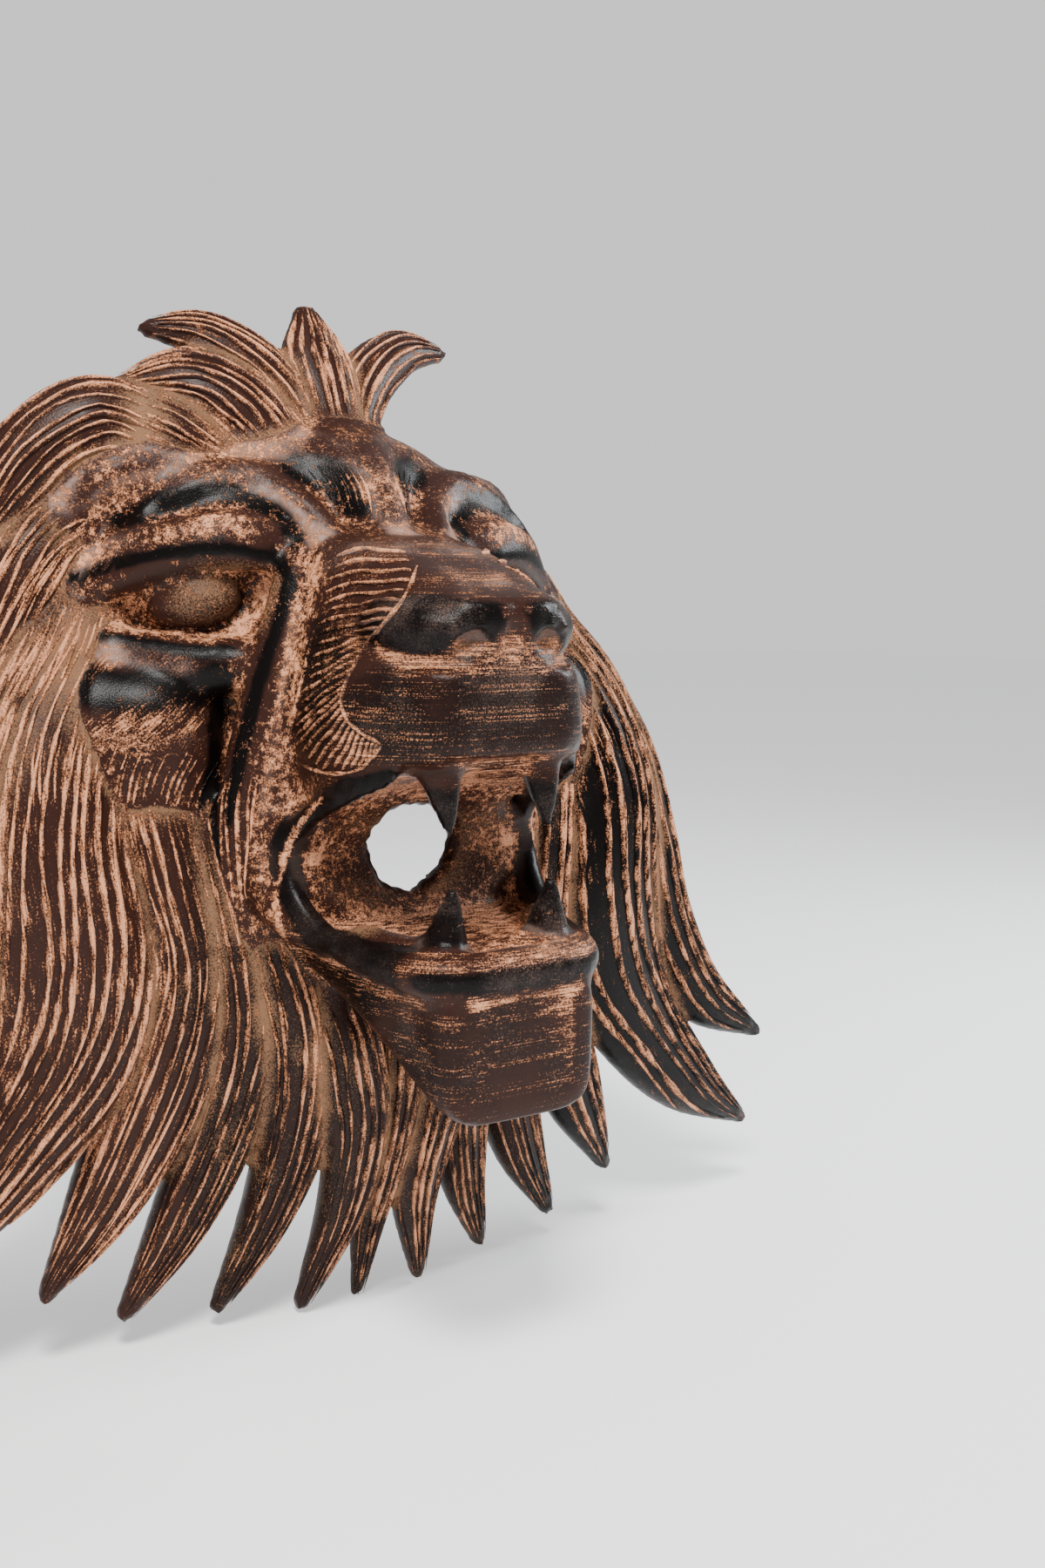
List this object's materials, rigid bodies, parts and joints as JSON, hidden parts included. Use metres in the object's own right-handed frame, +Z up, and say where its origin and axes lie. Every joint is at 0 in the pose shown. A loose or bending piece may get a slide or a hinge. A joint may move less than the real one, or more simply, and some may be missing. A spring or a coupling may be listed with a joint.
{
  "type": "lion head wall plaque",
  "caption": "Hollow-backed cast metal lion head with open roaring mouth, bared fangs and a full mane of carved locks, made to hang flat on a wall.",
  "frame": {"origin": "centre of the flat hanging pad at the top of the hollow back, in the wall plane", "axes": "+Z up along the wall, +Y into the wall, the lion looks along -Y and its left side is +X"},
  "size_m": [0.4722, 0.1782, 0.4246],
  "materials": {
    "lion_mask": "dark brown semi-gloss paint dry-brushed with salmon copper on the raised hair lines, dusty tan in the hollows"
  },
  "bodies": {
    "root": {"lion_mask": "lion_mask"}
  },
  "joints": []
}
